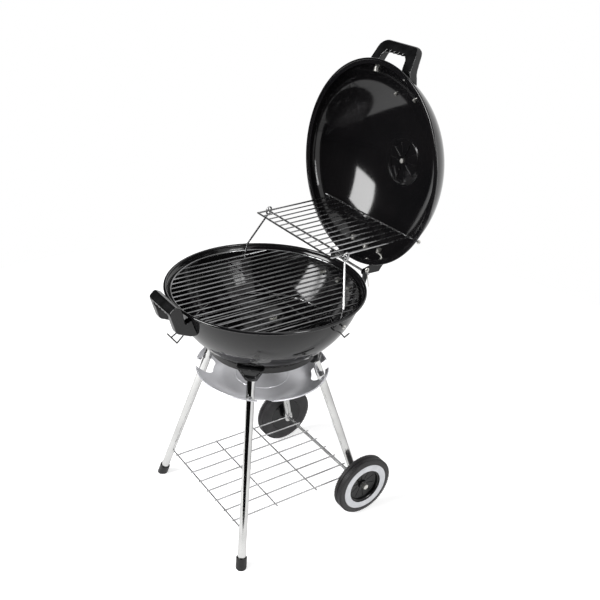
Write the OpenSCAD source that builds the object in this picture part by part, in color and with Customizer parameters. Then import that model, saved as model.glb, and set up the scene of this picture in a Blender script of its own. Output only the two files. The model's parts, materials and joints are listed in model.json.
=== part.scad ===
// Kettle charcoal grill on two legs and two wheels, with its lid open.
// A warming rack hangs in the lid and swings level on two wire legs.
// The floor is z = 0, and the front of the grill faces -Y.

/* [Bowl] */
// Outer radius of the bowl's rolled rim
rim_r = 220; // [212:1:228]
// Height of the rim's top above the floor
rim_z = 589; // [570:1:640]
// Radius of the bead rolled round the bowl's rim
rim_bead = 3.5; // [2.5:0.5:4.5]
// Width and height of the step from the round wall out to the rim
rim_step = 9; // [8:0.5:12]
// Depth of the round wall below that step
bowl_depth = 169; // [160:1:178]
// Thickness of the enamelled steel of bowl and lid
sheet = 1.2; // [0.8:0.1:1.6]

/* [Lid] */
// Height of the dome above the lid's flange
lid_rise = 109.5; // [104:0.5:116]
// Width of the flange round the foot of the dome
lid_flange = 9; // [7:0.5:11]
// Radius of the bead rolled round the lid's rim
lid_bead = 2.5; // [2:0.5:3.5]
// Gap between the closed lid's bead and the bowl's rim
lid_gap = 1; // [0.5:0.1:2]
// Angle of the open lid from its closed place
lid_open = 93.78; // [88:0.01:96]

/* [Vents] */
// Radius of the flat seat pressed into lid and bowl for a damper
seat_r = 53; // [50:1:58]
// Depth of the seat pressed into the lid
seat_press = 1.5; // [1:0.1:2.5]
// Number of vents in each seat
vent_count = 5; // [4:1:6]
// Share of the circle that the vents leave open
vent_share = 0.47; // [0.3:0.01:0.48]
// Radius at which the vents start
vent_in = 13; // [11:1:16]
// Radius at which the vents end
vent_out = 40; // [34:1:43]
// Radius of a damper plate
damper_r = 47; // [45:1:49]
// Thickness of a damper plate
damper_t = 1; // [0.8:0.1:1.5]

/* [Hinge] */
// Distance of the hinge rod behind the bowl's rim
hinge_back = 9; // [9:0.5:12]
// Depth of the hinge rod's axis below the rim's top
hinge_drop = 1; // [0:0.5:3]
// Radius of the hinge rod
hinge_rod_r = 3; // [2.5:0.25:3.5]
// Half length of the hinge rod
hinge_half = 70; // [68:1:76]
// Distance of the bowl bracket's cheeks from the middle
bowl_cheek_x = 60; // [59:0.5:62]
// Distance of the lid bracket's cheeks from the middle
lid_cheek_x = 54; // [52:0.5:55]
// Thickness of both brackets
bracket_t = 2; // [1.5:0.25:2.5]
// Running clearance round every pin
pin_gap = 0.06; // [0.04:0.01:0.1]

/* [Warming rack] */
// Distance from the hinge back to the rack's pivot, lid open
rack_back = 42; // [40:0.5:44]
// Height of the rack's pivot above the hinge, lid open
rack_up = 106.5; // [104:0.5:109]
// Depth of the rack from its pivot to its front rail
rack_depth = 206; // [190:1:212]
// Half width of the rack between its side rails
rack_half = 139.5; // [132:0.5:141]
// Distance of the leg bar in front of the pivot
leg_bar_front = 173; // [170:0.5:176]
// Radius of the rack's rails
rail_r = 2; // [1.5:0.1:2.2]
// Number of spaces between the rack's wires
rack_spaces = 13; // [9:1:15]
// Radius of the rack's thin wires
rack_wire_r = 1.5; // [1.2:0.1:1.8]
// Distance of the rack legs' pivots in front of the hinge
leg_pin_front = 167; // [165:0.5:169]
// Depth of the rack legs' pivots below the hinge
leg_pin_drop = 26; // [24:0.5:28]
// Height of the upright part of a rack leg above its pivot
leg_upright = 33; // [28:1:38]
// Length of the free play in a rack leg's eye
eye_play = 6.6; // [6.6:0.1:9]

/* [Grates] */
// Height of the cooking grate's ring below the rim's top
grate_drop = 13; // [12:0.5:16]
// Radius of the grates' rings
grate_ring_wire = 2.5; // [2:0.25:3]
// Radius of the grates' bars
grate_bar_r = 2; // [1.5:0.1:2.3]
// Spacing of the cooking grate's bars
grate_pitch = 19; // [18.6:0.1:19.2]
// Radius of the charcoal grate's ring
charcoal_r = 157.5; // [150:0.5:162]
// Spacing of the charcoal grate's bars
charcoal_pitch = 26; // [22:1:30]

/* [Legs] */
// Radius at which the legs meet the bowl
leg_top_r = 111; // [108:0.5:114]
// Outer radius of a leg tube
leg_r = 9.5; // [8.5:0.25:10]
// Wall of a leg tube
leg_wall = 1.2; // [1:0.1:2]
// Half the distance between the front feet
foot_x = 197; // [185:1:200]
// Distance of the front feet in front of the bowl's axis
foot_y = 167; // [150:1:180]
// Height of a foot cap
cap_h = 26; // [20:1:32]
// Distance of the strap outside the tops of the legs
ring_beyond = 13; // [12:0.5:14]
// Height of that strap
ring_h = 13; // [10:0.5:15]

/* [Wheels and shelf] */
// Outer radius of a tyre
wheel_r = 76; // [70:1:80]
// Width of a tyre
wheel_w = 28; // [24:1:32]
// Distance from the middle of the axle to a wheel's inner face
wheel_in = 159; // [158:0.5:164]
// Outer radius of the white band on a tyre
band_out = 63; // [60:0.5:65]
// Radius of the hub, and inner radius of the white band
hub_r = 45; // [42:0.5:48]
// Radius of the axle
axle_r = 4; // [3:0.25:4.5]
// Distance of the axle behind the bowl's axis
axle_back = 190; // [180:1:200]
// Half the distance between the rear legs at the axle
rear_leg_x = 147.5; // [144:0.5:149]
// Height of the bottom shelf's wires
shelf_z = 84; // [83:0.5:92]
// Radius of the bottom shelf's wires
shelf_wire_r = 1.8; // [1.5:0.1:2]
// Half width of the bottom shelf between its outer wires
shelf_half = 138; // [132:0.5:138.5]
// Number of spaces between the shelf's wires
shelf_spaces = 7; // [5:1:9]

/* [Ash catcher] */
// Outer radius of the ash catcher
ash_r = 153; // [148:0.5:156]
// Height of the ash catcher's rim below the bowl's rim
ash_drop = 204; // [198:1:210]
// Depth of the ash catcher
ash_depth = 26; // [20:0.5:30]
// Radius of the ash catcher's flat floor
ash_floor_r = 88; // [80:1:92]
// Angle of a twist-lock mouth round from its leg
mouth_turn = 14; // [12:0.5:16]
// Angle across a twist-lock mouth
mouth_span = 14; // [13:0.5:15]

/* [Handles] */
// Half width of the lid handle
handle_half = 56; // [54:0.5:58]
// Half width of the bowl handle
bowl_handle_half = 47; // [45:0.5:52]
// Width of a handle's arm
handle_arm = 18; // [16:0.5:21]
// Height of the bowl handle's grip above the rim
grip_rise = 24; // [18:0.5:24]
// Reach of the bowl handle in front of the rim
grip_reach = 35; // [32:0.5:38]
// Reach of the lid handle in front of the lid's rim
lid_grip_reach = 31; // [28:0.5:34]

/* [Hidden] */
$fn = 72;

// Small gap that keeps two seated pieces apart
seat_gap = 0.05;
// Length that is longer than any piece
far = 900;
enamel = [0.05, 0.05, 0.055];
plastic = [0.09, 0.09, 0.1];
steel = [0.75, 0.76, 0.78];
chrome = [0.85, 0.86, 0.88];

// The round wall is part of a sphere round bowl_c
neck_r = rim_r - rim_step;
neck_z = rim_z - rim_step;
bowl_ball = (neck_r ^ 2 + bowl_depth ^ 2) / (2 * bowl_depth);
bowl_c = neck_z - bowl_depth + bowl_ball;
function bowl_r_at(z, skin = 0) = sqrt((bowl_ball - skin) ^ 2 - (bowl_c - z) ^ 2);
function bowl_z_at(r, skin = 0) = bowl_c - sqrt((bowl_ball - skin) ^ 2 - r ^ 2);
function bowl_reach(side, z, skin = 0) = sqrt(bowl_r_at(z, skin) ^ 2 - side ^ 2);
bowl_seat_z = bowl_z_at(seat_r);

// The dome is a superellipse, flatter on top than a ball
lid_rim_r = rim_r - 0.5;
lid_bead_r = lid_rim_r - lid_bead;
lid_r = lid_rim_r - lid_flange;
bead_lap = 0.3;
lid_z = rim_z + lid_gap + 2 * lid_bead - bead_lap;
dome_side = 2.6;
dome_top = 1.6;
function dome_r_at(h, skin = 0) =
    (lid_r - skin) * (1 - (h / (lid_rise - skin)) ^ dome_top) ^ (1 / dome_side);
function dome_h_at(r, skin = 0) =
    (lid_rise - skin) * (1 - (r / (lid_r - skin)) ^ dome_side) ^ (1 / dome_top);
function dome_reach(side, z, skin = 0) = sqrt(dome_r_at(z - lid_z, skin) ^ 2 - side ^ 2);
lid_seat_z = lid_z + dome_h_at(seat_r) - seat_press;

// Places on the hinge and its linkage as [y, z], with the lid open
function turned(p, a) = [p[0] * cos(a) - p[1] * sin(a), p[0] * sin(a) + p[1] * cos(a)];
hinge = [rim_r + hinge_back, rim_z - hinge_drop];
rack_pin = hinge + [rack_back, rack_up];
rack_pin_shut = hinge + turned(rack_pin - hinge, lid_open);
rack_slope = 1.25;
leg_pin = hinge - [leg_pin_front, leg_pin_drop];
bar_below = rail_r + rack_wire_r - 0.2;
leg_bar = rack_pin - turned([leg_bar_front, bar_below], rack_slope);

// Feet, axle and leg tops as [x, y, z] on the right
leg_top = [leg_top_r * cos(45), leg_top_r * sin(45), bowl_z_at(leg_top_r)];
front_top = [leg_top[0], -leg_top[1], leg_top[2]];
front_foot = [foot_x, -foot_y, 0];
axle_z = wheel_r;
rear_foot = [rear_leg_x, axle_back, axle_z];
function on_leg(top, foot, z) = top + (foot - top) * (top[2] - z) / (top[2] - foot[2]);
leg_start = 14;
bolt_r = 3;

// Heights and radii that follow from the sizes above
grate_z = rim_z - grate_drop;
grate_r = bowl_r_at(grate_z, sheet) - grate_ring_wire - 1.3;
charcoal_z = bowl_c - sqrt((bowl_ball - sheet - grate_ring_wire - seat_gap) ^ 2 - charcoal_r ^ 2);
ash_z = rim_z - ash_drop;
damper_step = 180 / vent_count;

// The grill's axis stands forward of the origin, which is the middle of
// its outline from the bowl handle's grip to the open lid's damper tab
tab_h = 9;
front_reach = rim_r + grip_reach;
tab_end = [-damper_r + 2 - hinge[0], lid_seat_z + seat_gap + tab_h - hinge[1]];
back_reach = hinge[0] + turned(tab_end, -lid_open)[0];
kettle_y = (front_reach - back_reach) / 2;

// ---------- helpers ----------

module at_axis() translate([0, kettle_y, 0]) children();

module opened() translate([0, hinge[0], hinge[1]]) rotate([-lid_open, 0, 0])
    translate([0, -hinge[0], -hinge[1]]) children();

// Turns +Z to point from one place to another
module aim(from, to) {
    d = to - from;
    translate(from) rotate([0, acos(d[2] / norm(d)), atan2(d[1], d[0])]) children();
}

module rod(from, to, r) aim(from, to) cylinder(r = r, h = norm(to - from), $fn = 24);

// A bent wire, a little swollen where it was bent at each inner point
bend_swell = 1.04;
module wire(points, r) {
    for (i = [0 : len(points) - 2]) rod(points[i], points[i + 1], r);
    for (i = [1 : len(points) - 2]) translate(points[i]) sphere(r * bend_swell, $fn = 24);
}

// A bar along X through a place given as [y, z]
module bar(p, r, x0, x1) translate([x0, p[0], p[1]]) rotate([0, 90, 0])
    cylinder(r = r, h = x1 - x0, $fn = 36);

module both_sides() {
    children();
    mirror([1, 0, 0]) children();
}

module bowl_ball(skin) translate([0, 0, bowl_c]) sphere(bowl_ball - skin, $fn = 144);

// Wedge-shaped vents, centred on +Y when turn is 0
module vents(z, turn) for (i = [0 : vent_count - 1]) {
    span = 360 / vent_count * vent_share;
    rotate(90 + turn + 360 / vent_count * i - span / 2) translate([0, 0, z])
        rotate_extrude(angle = span) translate([vent_in, -10]) square([vent_out - vent_in, 20]);
}

// An outline drawn as [y, z], given a thickness along X from x0
module side_plate(x0, t) translate([x0, 0, 0]) rotate([90, 0, 90]) linear_extrude(t) children();

module rounded(r) offset(r = r, $fn = 24) offset(delta = -r) children();

// ---------- bowl ----------

module bowl_section() {
    bead_r = rim_r - rim_bead;
    bead_z = rim_z - rim_bead;
    intersection() {
        translate([0, bowl_c]) difference() {
            circle(bowl_ball, $fn = 144);
            circle(bowl_ball - sheet, $fn = 144);
        }
        translate([seat_r - sheet, bowl_seat_z]) square([rim_r, neck_z - bowl_seat_z]);
    }
    translate([0, bowl_seat_z]) square([seat_r, sheet]);
    polygon([[neck_r - sheet, neck_z - 0.5], [neck_r, neck_z - 0.5],
        [bead_r, bead_z - sheet / 2], [bead_r, bead_z + sheet / 2]]);
    translate([bead_r, bead_z]) circle(rim_bead, $fn = 36);
}

module bowl() color(enamel) at_axis() difference() {
    rotate_extrude($fn = 144) bowl_section();
    vents(bowl_seat_z, 0);
    translate([0, 0, bowl_seat_z - 5]) cylinder(r = damper_bolt_r + seat_gap, h = 10, $fn = 36);
    both_sides() {
        aim(leg_top, rear_foot) translate([0, 0, -12]) cylinder(r = bolt_r + seat_gap, h = 24, $fn = 36);
        aim(front_top, front_foot) translate([0, 0, -12]) cylinder(r = bolt_r + seat_gap, h = 24, $fn = 36);
        bar(leg_pin, rail_r + pin_gap, leg_pin_wall - 12, leg_pin_wall + 12);
        bowl_handle_bolt_places() cylinder(r = small_bolt_r + seat_gap, h = 30, center = true, $fn = 36);
    }
    bowl_hinge_bolt_places() cylinder(r = small_bolt_r + seat_gap, h = 30, center = true, $fn = 36);
    side_hook_place() cylinder(r = hook_r + seat_gap, h = 30, center = true, $fn = 36);
}

// Small ledges welded inside the bowl carry the cooking grate
module grate_tabs() color(enamel) at_axis() {
    tab_w = 14;
    tab_top = grate_z - grate_ring_wire - seat_gap;
    tab_foot = 16;
    for (a = [45 : 90 : 315]) rotate(a) intersection() {
        translate([grate_r - 8, -tab_w / 2, tab_top - tab_foot]) cube([40, tab_w, tab_foot]);
        difference() {
            bowl_ball(sheet + seat_gap);
            intersection() {
                bowl_ball(2 * sheet + seat_gap);
                translate([0, 0, tab_top - sheet - far]) cylinder(r = far, h = far);
            }
        }
    }
}

damper_bolt_r = 2.5;
small_bolt_r = 2;

// A damper plate turned half a vent's pitch from its vents, with a thumb tab
module damper_plate(turn) {
    difference() {
        cylinder(r = damper_r, h = damper_t);
        vents(0, turn);
        translate([0, 0, -1]) cylinder(r = damper_bolt_r + pin_gap, h = 10, $fn = 36);
    }
    translate([-9, -damper_r + 2, 0]) cube([18, damper_t, tab_h]);
}

module bowl_damper() color(steel) at_axis()
    translate([0, 0, bowl_seat_z - seat_gap]) rotate([180, 0, 0]) damper_plate(damper_step);

// Bolt through a seat and its damper, with its head beyond the damper
module damper_bolt() {
    grip = damper_t + 2 * seat_gap + sheet + 3 * seat_gap;
    cylinder(r = damper_bolt_r, h = grip, $fn = 36);
    translate([0, 0, -3]) cylinder(r = 5, h = 3, $fn = 36);
    translate([0, 0, grip]) cylinder(r = 5.5, h = 4, $fn = 6);
}

module bowl_damper_bolt() color(chrome) at_axis()
    translate([0, 0, bowl_seat_z - damper_t - 4 * seat_gap]) damper_bolt();

// ---------- bowl handle ----------

bowl_handle_z = rim_z - 34;
bowl_handle_bolt_x = bowl_handle_half - handle_arm / 2;

// Places, with +Z out of the bowl, of the right-hand handle bolt
module bowl_handle_bolt_places()
    translate([bowl_handle_bolt_x, -bowl_reach(bowl_handle_bolt_x, bowl_handle_z), bowl_handle_z])
    rotate([90, 0, 0]) children();

module bowl_handle_side() {
    top = rim_z + grip_rise;
    front = rim_r + grip_reach;
    rounded(4) polygon([[65 - front, bowl_handle_z - 19], [48 - front, bowl_handle_z - 19],
        [15 - front, bowl_handle_z - 4], [-front, top - 12], [13 - front, top],
        [28 - front, top - 8], [35 - front, bowl_handle_z + 12],
        [50 - front, bowl_handle_z + 19], [65 - front, bowl_handle_z + 19]]);
}

module bowl_handle() color(plastic) at_axis() difference() {
    union() {
        both_sides() side_plate(bowl_handle_half - handle_arm, handle_arm) bowl_handle_side();
        side_plate(-bowl_handle_half + 1, 2 * bowl_handle_half - 2) intersection() {
            bowl_handle_side();
            translate([-far, rim_z]) square(far);
        }
    }
    for (i = [-2 : 2]) translate([i * 14, -rim_r - grip_reach, rim_z - 2]) rotate([-70, 0, 0])
        cylinder(r = 5, h = 60, center = true, $fn = 36);
    translate(hook_root - [0, 0, 40]) cylinder(r = hook_r + seat_gap, h = 40 + seat_gap, $fn = 24);
    bowl_ball(-seat_gap);
    both_sides() bowl_handle_bolt_places() translate([0, 0, -10])
        cylinder(r = small_bolt_r + seat_gap, h = 34, $fn = 36);
}

// Domed nuts inside the bowl on bolts that run into the handle's feet
module bowl_handle_bolts() color(chrome) at_axis() both_sides() {
    bowl_handle_bolt_places() translate([0, 0, -6]) cylinder(r = small_bolt_r, h = 22, $fn = 36);
    intersection() {
        bowl_handle_bolt_places() translate([0, 0, -7]) cylinder(r = 6, h = 12, $fn = 36);
        bowl_ball(sheet + seat_gap);
    }
}

// ---------- hooks ----------

hook_r = 1.5;
hook_root = [bowl_handle_half - 8, -rim_r - 2, bowl_handle_z - 3];

// A wire hook for tools, rooted in the right arm of the bowl handle
module tool_hook() color(enamel) at_axis() {
    corner = hook_root + [0, -14, -26];
    wire([hook_root, hook_root - [0, 0, 13], corner, corner - [43, 0, 0]], hook_r);
    rod(corner + [-26, 0, 0], corner + [-26, 12, 7], hook_r * 0.95);
}

module side_hook_place() translate([bowl_reach(30, neck_z - 12), 30, neck_z - 12])
    rotate([0, 90, 0]) children();

// A wire hook at the bowl's right side, with its nut inside the wall
module side_hook() color(enamel) at_axis() {
    x = bowl_reach(30, neck_z - 12);
    wire([[x - 5, 30, neck_z - 12], [x + 6, 30, neck_z - 12], [x + 8, 44, neck_z - 20],
        [x + 6, 58, neck_z - 36], [x + 6, 70, neck_z - 30]], hook_r);
}

// ---------- hinge ----------

bowl_hinge_z = rim_z - 38;
lid_hinge_z = lid_z + 35;
cheek_r = 8;

module bowl_hinge_bolt_places() for (x = [-50, 0, 50])
    translate([x, bowl_reach(x, bowl_hinge_z), bowl_hinge_z]) rotate([-90, 0, 0]) children();

module bowl_hinge_bracket() color(enamel) at_axis() difference() {
    union() {
        intersection() {
            translate([-bowl_cheek_x, 0, bowl_hinge_z - 20])
                cube([2 * bowl_cheek_x, far, 42]);
            bowl_ball(-bracket_t);
        }
        both_sides() side_plate(bowl_cheek_x - bracket_t / 2, bracket_t) {
            polygon([[hinge[0] - 60, bowl_hinge_z - 20], [hinge[0] - 4, bowl_hinge_z - 14],
                [hinge[0] + cheek_r, hinge[1] - 3], [hinge[0] + cheek_r, hinge[1]],
                [hinge[0] - cheek_r, hinge[1]], [hinge[0] - cheek_r, neck_z - 4],
                [hinge[0] - 60, neck_z - 4]]);
            translate(hinge) circle(cheek_r);
        }
    }
    bowl_ball(-seat_gap);
    bar(hinge, hinge_rod_r + pin_gap, -far, far);
    bowl_hinge_bolt_places() cylinder(r = small_bolt_r + seat_gap, h = 30, center = true, $fn = 36);
}

module bowl_hinge_bolts() color(chrome) at_axis() {
    bowl_hinge_bolt_places() translate([0, 0, -6]) cylinder(r = small_bolt_r, h = 14, $fn = 36);
    intersection() {
        bowl_hinge_bolt_places() translate([0, 0, -7]) cylinder(r = 6, h = 14, $fn = 36);
        bowl_ball(sheet + seat_gap);
    }
    difference() {
        bowl_hinge_bolt_places() translate([0, 0, -4]) cylinder(r = 4.5, h = 10, $fn = 36);
        bowl_ball(-bracket_t - seat_gap);
    }
}

module hinge_rod() color(steel) at_axis() {
    difference() {
        bar(hinge, hinge_rod_r, -hinge_half, hinge_half);
        cotter_place() cylinder(r = cotter_r + seat_gap, h = 20, center = true, $fn = 24);
    }
    bar(hinge, hinge_rod_r + 2, -hinge_half, 3 - hinge_half);
}

cotter_r = 1.2;
module cotter_place() translate([hinge_half - 4, hinge[0], hinge[1]]) rotate([12, 0, 0]) children();

// A split pin with a round eye keeps the rod in the brackets
module hinge_cotter() color(chrome) at_axis() cotter_place() {
    translate([0, 0, -36]) cylinder(r = cotter_r, h = 41.5, $fn = 24);
    translate([0, 0, 9]) rotate([0, 90, 0]) rotate_extrude()
        translate([4, 0]) circle(cotter_r * 1.2, $fn = 24);
}

// ---------- grates ----------

// Bars along Y across a ring, with their ends in the ring's wire
bar_inset = 18;
module grate_bars(r, pitch) for (x = [-floor((r - bar_inset) / pitch) * pitch : pitch : r - bar_inset]) {
    half = sqrt(r ^ 2 - x ^ 2);
    translate([x, half, 0]) rotate([90, 0, 0]) cylinder(r = grate_bar_r, h = 2 * half, $fn = 24);
}

module grate_ring(r) rotate_extrude($fn = 96) translate([r, 0]) circle(grate_ring_wire, $fn = 24);

module cross_wire(r, y, z) translate([-sqrt(r ^ 2 - y ^ 2), y, z]) rotate([0, 90, 0])
    cylinder(r = grate_bar_r, h = 2 * sqrt(r ^ 2 - y ^ 2), $fn = 24);

module cooking_grate() color(steel) at_axis() translate([0, 0, grate_z]) {
    grate_ring(grate_r);
    grate_bars(grate_r, grate_pitch);
    cross_wire(grate_r - 38, 3, -2 * grate_bar_r + 0.8);
}

module charcoal_grate() color(steel) at_axis() translate([0, 0, charcoal_z]) {
    grate_ring(charcoal_r);
    grate_bars(charcoal_r, charcoal_pitch);
    cross_wire(charcoal_r, 4, -2 * grate_bar_r + 0.8);
}

// ---------- warming rack and its legs ----------

bar_end = rack_half + 10;
leg_eye_x = rack_half + 5;
leg_pin_wall = bowl_reach(leg_pin[0], leg_pin[1]);
leg_x = leg_pin_wall - 9;
rack_pin_wall = dome_reach(rack_pin_shut[0] - 5, rack_pin_shut[1] - 5);

// The rack lies in a plane through its pivot, which tilts a little
module in_rack() translate([0, rack_pin[0], rack_pin[1]]) rotate([rack_slope, 0, 0]) children();

module warming_rack() color(steel) at_axis() {
    in_rack() {
        rod([-rack_half, -rack_depth, 0], [rack_half, -rack_depth, 0], rail_r);
        both_sides() {
            rod([rack_half, -rack_depth, 0], [rack_half, 0, 0], rail_r);
            translate([rack_half, -rack_depth, 0]) sphere(rail_r * bend_swell, $fn = 24);
        }
        for (i = [1 : rack_spaces - 1]) {
            x = rack_half * (2 * i / rack_spaces - 1);
            rod([x, -rack_depth, 0], [x, 0, 0], rack_wire_r);
        }
    }
    bar(leg_bar, rail_r, -bar_end, bar_end);
    both_sides() bar(leg_bar, rail_r + 2, bar_end, bar_end + 2);
    bar(rack_pin, rail_r, -rack_pin_wall - 5, rack_pin_wall + 5);
}

// Push nuts outside the lid keep the rack's back rail in its holes
module rack_clips() color(chrome) at_axis() both_sides() difference() {
    bar(rack_pin, rail_r + 2.5, rack_pin_wall + 1, rack_pin_wall + 3);
    bar(rack_pin, rail_r + seat_gap, rack_pin_wall, rack_pin_wall + 5);
}

eye_gap = 1.1;
eye_in_r = rail_r + eye_gap;
eye_near = -2.9;
eye_r = eye_in_r + rail_r;
leg_lean = atan2(leg_bar[1] - leg_pin[1], leg_bar[0] - leg_pin[0]);

// The long eye of a rack leg, drawn round the bar with its length along +X
module leg_eye() {
    translate([eye_near, 0, 0]) rotate(90) rotate_extrude(angle = 180) translate([eye_r, 0])
        circle(rail_r, $fn = 24);
    translate([eye_near + eye_play, 0, 0]) rotate(-90) rotate_extrude(angle = 180)
        translate([eye_r, 0]) circle(rail_r, $fn = 24);
    for (s = [-eye_r, eye_r]) rod([eye_near, s, 0], [eye_near + eye_play, s, 0], rail_r);
}

module rack_leg() {
    foot = [leg_x, leg_pin[0], leg_pin[1]];
    knee = foot + [0, 7, leg_upright];
    out = eye_near - eye_r;
    neck = [leg_eye_x, leg_bar[0] + out * cos(leg_lean), leg_bar[1] + out * sin(leg_lean)];
    translate([leg_eye_x, leg_bar[0], leg_bar[1]]) rotate([90, 0, 90]) rotate(leg_lean) leg_eye();
    wire([neck, knee, foot, foot + [19, 0, 0]], rail_r);
    translate(neck) sphere(rail_r * bend_swell, $fn = 24);
}

module rack_leg_left() color(steel) at_axis() mirror([1, 0, 0]) rack_leg();
module rack_leg_right() color(steel) at_axis() rack_leg();

module rack_leg_clip() difference() {
    bar(leg_pin, rail_r + 2.5, leg_x + 14, leg_x + 16);
    bar(leg_pin, rail_r + seat_gap, leg_x + 10, leg_x + 18);
}

module rack_leg_clip_left() color(chrome) at_axis() mirror([1, 0, 0]) rack_leg_clip();
module rack_leg_clip_right() color(chrome) at_axis() rack_leg_clip();

// ---------- lid, drawn closed and swung open about the hinge ----------

dome_steps = 18;
seat_turn = asin((seat_r / lid_r) ^ (dome_side / 2));
function dome_point(a, skin) = [(lid_r - skin) * sin(a) ^ (2 / dome_side),
    lid_z + (lid_rise - skin) * cos(a) ^ (2 / dome_top)];
function dome_curve(skin) = [for (i = [0 : dome_steps])
    dome_point(seat_turn + (90 - seat_turn) * i / dome_steps, skin)];
function backwards(list) = [for (i = [len(list) - 1 : -1 : 0]) list[i]];

module lid_section() {
    polygon(concat([[0, lid_seat_z - sheet], [0, lid_seat_z], [seat_r - sheet, lid_seat_z]],
        dome_curve(0), [[lid_bead_r, lid_z], [lid_bead_r, lid_z - sheet],
        [lid_r - sheet, lid_z - sheet]],
        backwards(dome_curve(sheet)), [[seat_r, lid_seat_z - sheet]]));
}

// All of the space under the dome's outer or inner face
module dome_solid(skin) rotate_extrude($fn = 144)
    polygon(concat([[0, lid_z - lid_bead], [0, lid_seat_z - skin]], dome_curve(skin),
        [[lid_r - skin, lid_z - lid_bead]]));

module lid() color(enamel) at_axis() opened() difference() {
    union() {
        rotate_extrude($fn = 144) lid_section();
        translate([0, 0, lid_z + bead_lap - lid_bead]) rotate_extrude($fn = 144)
            translate([lid_bead_r, 0]) circle(lid_bead, $fn = 36);
    }
    vents(lid_seat_z, 0);
    translate([0, 0, lid_seat_z - 5]) cylinder(r = damper_bolt_r + seat_gap, h = 10, $fn = 36);
    bar(rack_pin_shut, rail_r + pin_gap, -far, far);
    lid_hinge_bolt_places() cylinder(r = small_bolt_r + seat_gap, h = 30, center = true, $fn = 36);
    both_sides() {
        lid_handle_bolt_places() cylinder(r = small_bolt_r + seat_gap, h = 30, center = true, $fn = 36);
        rivet_places() cylinder(r = rivet_r + seat_gap, h = 20, center = true, $fn = 24);
    }
}

module lid_damper() color(enamel) at_axis() opened()
    translate([0, 0, lid_seat_z + seat_gap]) damper_plate(damper_step);

module lid_damper_bolt() color(chrome) at_axis() opened()
    translate([0, 0, lid_seat_z + damper_t + 4 * seat_gap]) rotate([180, 0, 0]) damper_bolt();

lid_handle_z = lid_z + 30;
lid_handle_t = 22;

lid_handle_bolt_x = handle_half - handle_arm / 2;

module lid_handle_bolt_places()
    translate([lid_handle_bolt_x, -dome_reach(lid_handle_bolt_x, lid_handle_z), lid_handle_z])
    rotate([90, 0, 0]) children();

lid_handle_front = lid_rim_r + lid_grip_reach;
lid_grip_back = 22 - lid_handle_front;

// Both arms seen from the side, with a round nose and deeper feet
module lid_handle_side() rounded(6) polygon([[-150, lid_handle_z - 11],
    [10 - lid_handle_front, lid_handle_z - 11], [-lid_handle_front, lid_handle_z - 3],
    [-lid_handle_front, lid_handle_z + 5], [12 - lid_handle_front, lid_handle_z + 11],
    [-150, lid_handle_z + 14]]);

// The handle seen from above, whose opening is wider at the lid
module lid_handle_plan() difference() {
    rounded(14) translate([-handle_half, -lid_handle_front])
        square([2 * handle_half, lid_handle_front - 150]);
    rounded(6) polygon([[handle_arm + 9 - handle_half, lid_grip_back],
        [handle_half - handle_arm - 9, lid_grip_back],
        [handle_half - handle_arm + 1, -140], [handle_arm - handle_half - 1, -140]]);
}

module lid_handle() color(plastic) at_axis() opened() difference() {
    intersection() {
        translate([0, 0, lid_handle_z - lid_handle_t]) linear_extrude(2 * lid_handle_t)
            lid_handle_plan();
        side_plate(-handle_half - 1, 2 * handle_half + 2) lid_handle_side();
    }
    for (i = [-2 : 2]) translate([i * 12, lid_grip_back + 1, lid_handle_z - 9]) rotate([-24, 0, 0])
        cylinder(r = 4.5, h = 30, center = true, $fn = 24);
    dome_solid(-seat_gap);
    both_sides() lid_handle_bolt_places() translate([0, 0, -10])
        cylinder(r = small_bolt_r + seat_gap, h = 34, $fn = 36);
}

module lid_handle_bolts() color(chrome) at_axis() opened() both_sides() {
    lid_handle_bolt_places() translate([0, 0, -6]) cylinder(r = small_bolt_r, h = 22, $fn = 36);
    intersection() {
        lid_handle_bolt_places() translate([0, 0, -8]) cylinder(r = 6, h = 14, $fn = 36);
        dome_solid(sheet + seat_gap);
    }
}

rivet_r = 2;
rivet_x = 30;
rivet_h = 81;
rivet_lean = 50;

// Places of the right-hand rivet in the lid's front, with +Z outwards
module rivet_places() translate([rivet_x, -dome_reach(rivet_x, lid_z + rivet_h), lid_z + rivet_h])
    rotate([rivet_lean, 0, 0]) children();

module lid_rivets() color(steel) at_axis() opened() both_sides() {
    rivet_places() translate([0, 0, -4]) cylinder(r = rivet_r, h = 6, $fn = 24);
    intersection() {
        rivet_places() translate([0, 0, -5]) cylinder(r = 4, h = 8, $fn = 24);
        dome_solid(sheet + seat_gap);
    }
    difference() {
        rivet_places() translate([0, 0, -4]) cylinder(r = 4, h = 6, $fn = 24);
        dome_solid(-seat_gap);
    }
}

module lid_hinge_bolt_places() for (x = [-46, 0, 46])
    translate([x, dome_reach(x, lid_hinge_z), lid_hinge_z]) rotate([-90, 0, 0]) children();

module lid_hinge_bracket() color(enamel) at_axis() opened() difference() {
    union() {
        intersection() {
            translate([-lid_cheek_x, 0, lid_z + 14]) cube([2 * lid_cheek_x, far, 40]);
            dome_solid(-bracket_t);
        }
        both_sides() side_plate(lid_cheek_x - bracket_t / 2, bracket_t) {
            polygon([[hinge[0] - 70, lid_z + 14], [hinge[0] - 26, lid_z + 14],
                [hinge[0] - 12, lid_z + 6], [hinge[0] - cheek_r, hinge[1]],
                [hinge[0] + cheek_r, hinge[1]], [hinge[0] + 6, lid_z + 37],
                [hinge[0] - 15, lid_z + 50], [hinge[0] - 70, lid_z + 54]]);
            translate(hinge) circle(cheek_r);
        }
    }
    dome_solid(-seat_gap);
    bar(hinge, hinge_rod_r + pin_gap, -far, far);
    lid_hinge_bolt_places() cylinder(r = small_bolt_r + seat_gap, h = 30, center = true, $fn = 36);
}

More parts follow.
